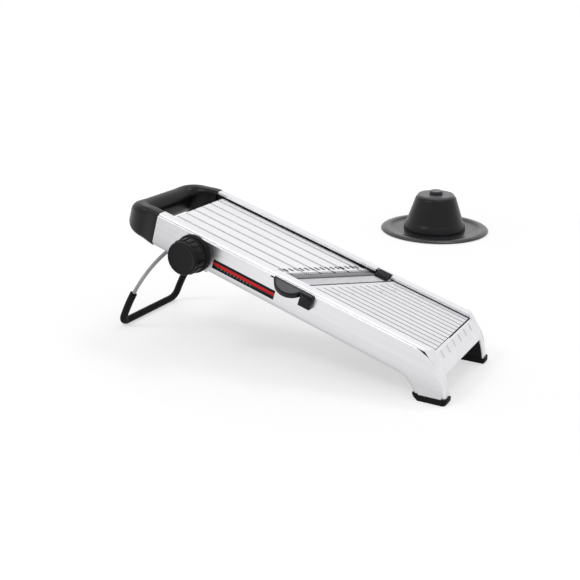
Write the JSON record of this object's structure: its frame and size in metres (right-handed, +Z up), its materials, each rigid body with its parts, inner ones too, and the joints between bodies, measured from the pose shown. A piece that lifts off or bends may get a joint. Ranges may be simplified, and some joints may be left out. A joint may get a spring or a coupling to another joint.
{
  "type": "mandoline slicer",
  "caption": "Mandoline slicer with a diagonal blade, a tilting ramp set by a side knob, a folding wire stand and a round food holder standing beside it.",
  "frame": {"origin": "middle of the whole set's footprint, on the table", "axes": "+X along the slicer towards its front feet, +Y from the slicer to the food holder, +Z up"},
  "size_m": [0.4118, 0.6971, 0.1542],
  "materials": {
    "steel": "satin",
    "skin": "satin",
    "pressed": "satin",
    "blade": "polished",
    "black": "satin",
    "gloss": "gloss",
    "rubber": "matte",
    "grey": "satin",
    "pale": "satin",
    "red": "satin",
    "teal": "matte"
  },
  "bodies": {
    "slicer": {"near_skin": "skin", "far_skin": "skin", "near_side_frame": "black", "far_side_frame": "black", "near_rail_cap": "pressed", "far_rail_cap": "pressed", "front_panel": "pressed", "front_feet": "rubber", "handle": "black", "rear_cross_member": "black", "lower_platform": "steel", "blade_bed": "grey", "blade_clamp": "gloss", "dial_collar": "black", "scale_plate": "teal", "ramp_hinge_pin": "steel", "stand_bushes": "grey", "platform_screws": "steel"},
    "ramp": {"upper_ramp": "steel", "comb_guide_screws": "steel"},
    "comb": {"comb_carrier": "black", "comb_teeth": "blade"},
    "knob": {"thickness_knob": "black", "knob_shaft": "steel", "lift_cams": "grey", "scale_pinion": "grey"},
    "pointer": {"scale_pointer": "red"},
    "blade": {"main_blade": "blade", "blade_tab": "gloss"},
    "stand": {"stand_wire": "steel", "stand_sleeve": "rubber"},
    "holder": {"holder_brim": "black", "holder_cone": "black", "holder_top_disc": "pale"},
    "plunger": {"plunger_button": "gloss", "plunger_rod": "grey", "pusher_plate": "black", "pusher_prongs": "blade", "holder_spring": "steel"}
  },
  "joints": [
    {"name": "knob_turn", "type": "hinge", "parent": "slicer", "child": "knob", "pos_m": [-0.08495, -0.25945, 0.11137], "axis": [0, 1, 0], "range_deg": [0, 270]},
    {"name": "ramp_tilt", "type": "hinge", "parent": "slicer", "child": "ramp", "pos_m": [-0.11807, -0.25945, 0.13376], "axis": [0, 1, 0], "range_deg": [0, 3]},
    {"name": "pointer_slide", "type": "slide", "parent": "slicer", "child": "pointer", "axis": [0.9568, 0, -0.2907], "range_m": [0, 0.0401]},
    {"name": "comb_lift", "type": "slide", "parent": "ramp", "child": "comb", "axis": [0.2907, 0, 0.9568], "range_m": [0, 0.005]},
    {"name": "blade_out", "type": "slide", "parent": "slicer", "child": "blade", "axis": [-0.4639, -0.8746, 0.1409], "range_m": [0, 0.14]},
    {"name": "stand_fold", "type": "hinge", "parent": "slicer", "child": "stand", "pos_m": [-0.11333, -0.25945, 0.11602], "axis": [0, -1, 0], "range_deg": [0, 107]},
    {"name": "holder_lift", "type": "slide", "parent": "slicer", "child": "holder", "axis": [0, 0, 1], "range_m": [0, 0.12]},
    {"name": "plunger_press", "type": "slide", "parent": "holder", "child": "plunger", "axis": [0, 0, 1], "range_m": [0, 0.018], "stiffness_N_per_m": 120, "springref_m": -0.006, "deforming": ["holder_spring"]}
  ],
  "couplings": [
    {"joint": "ramp_tilt", "follows": "knob_turn", "ratio": 0.011111},
    {"joint": "pointer_slide", "follows": "knob_turn", "m_per_rad": 0.0085}
  ]
}
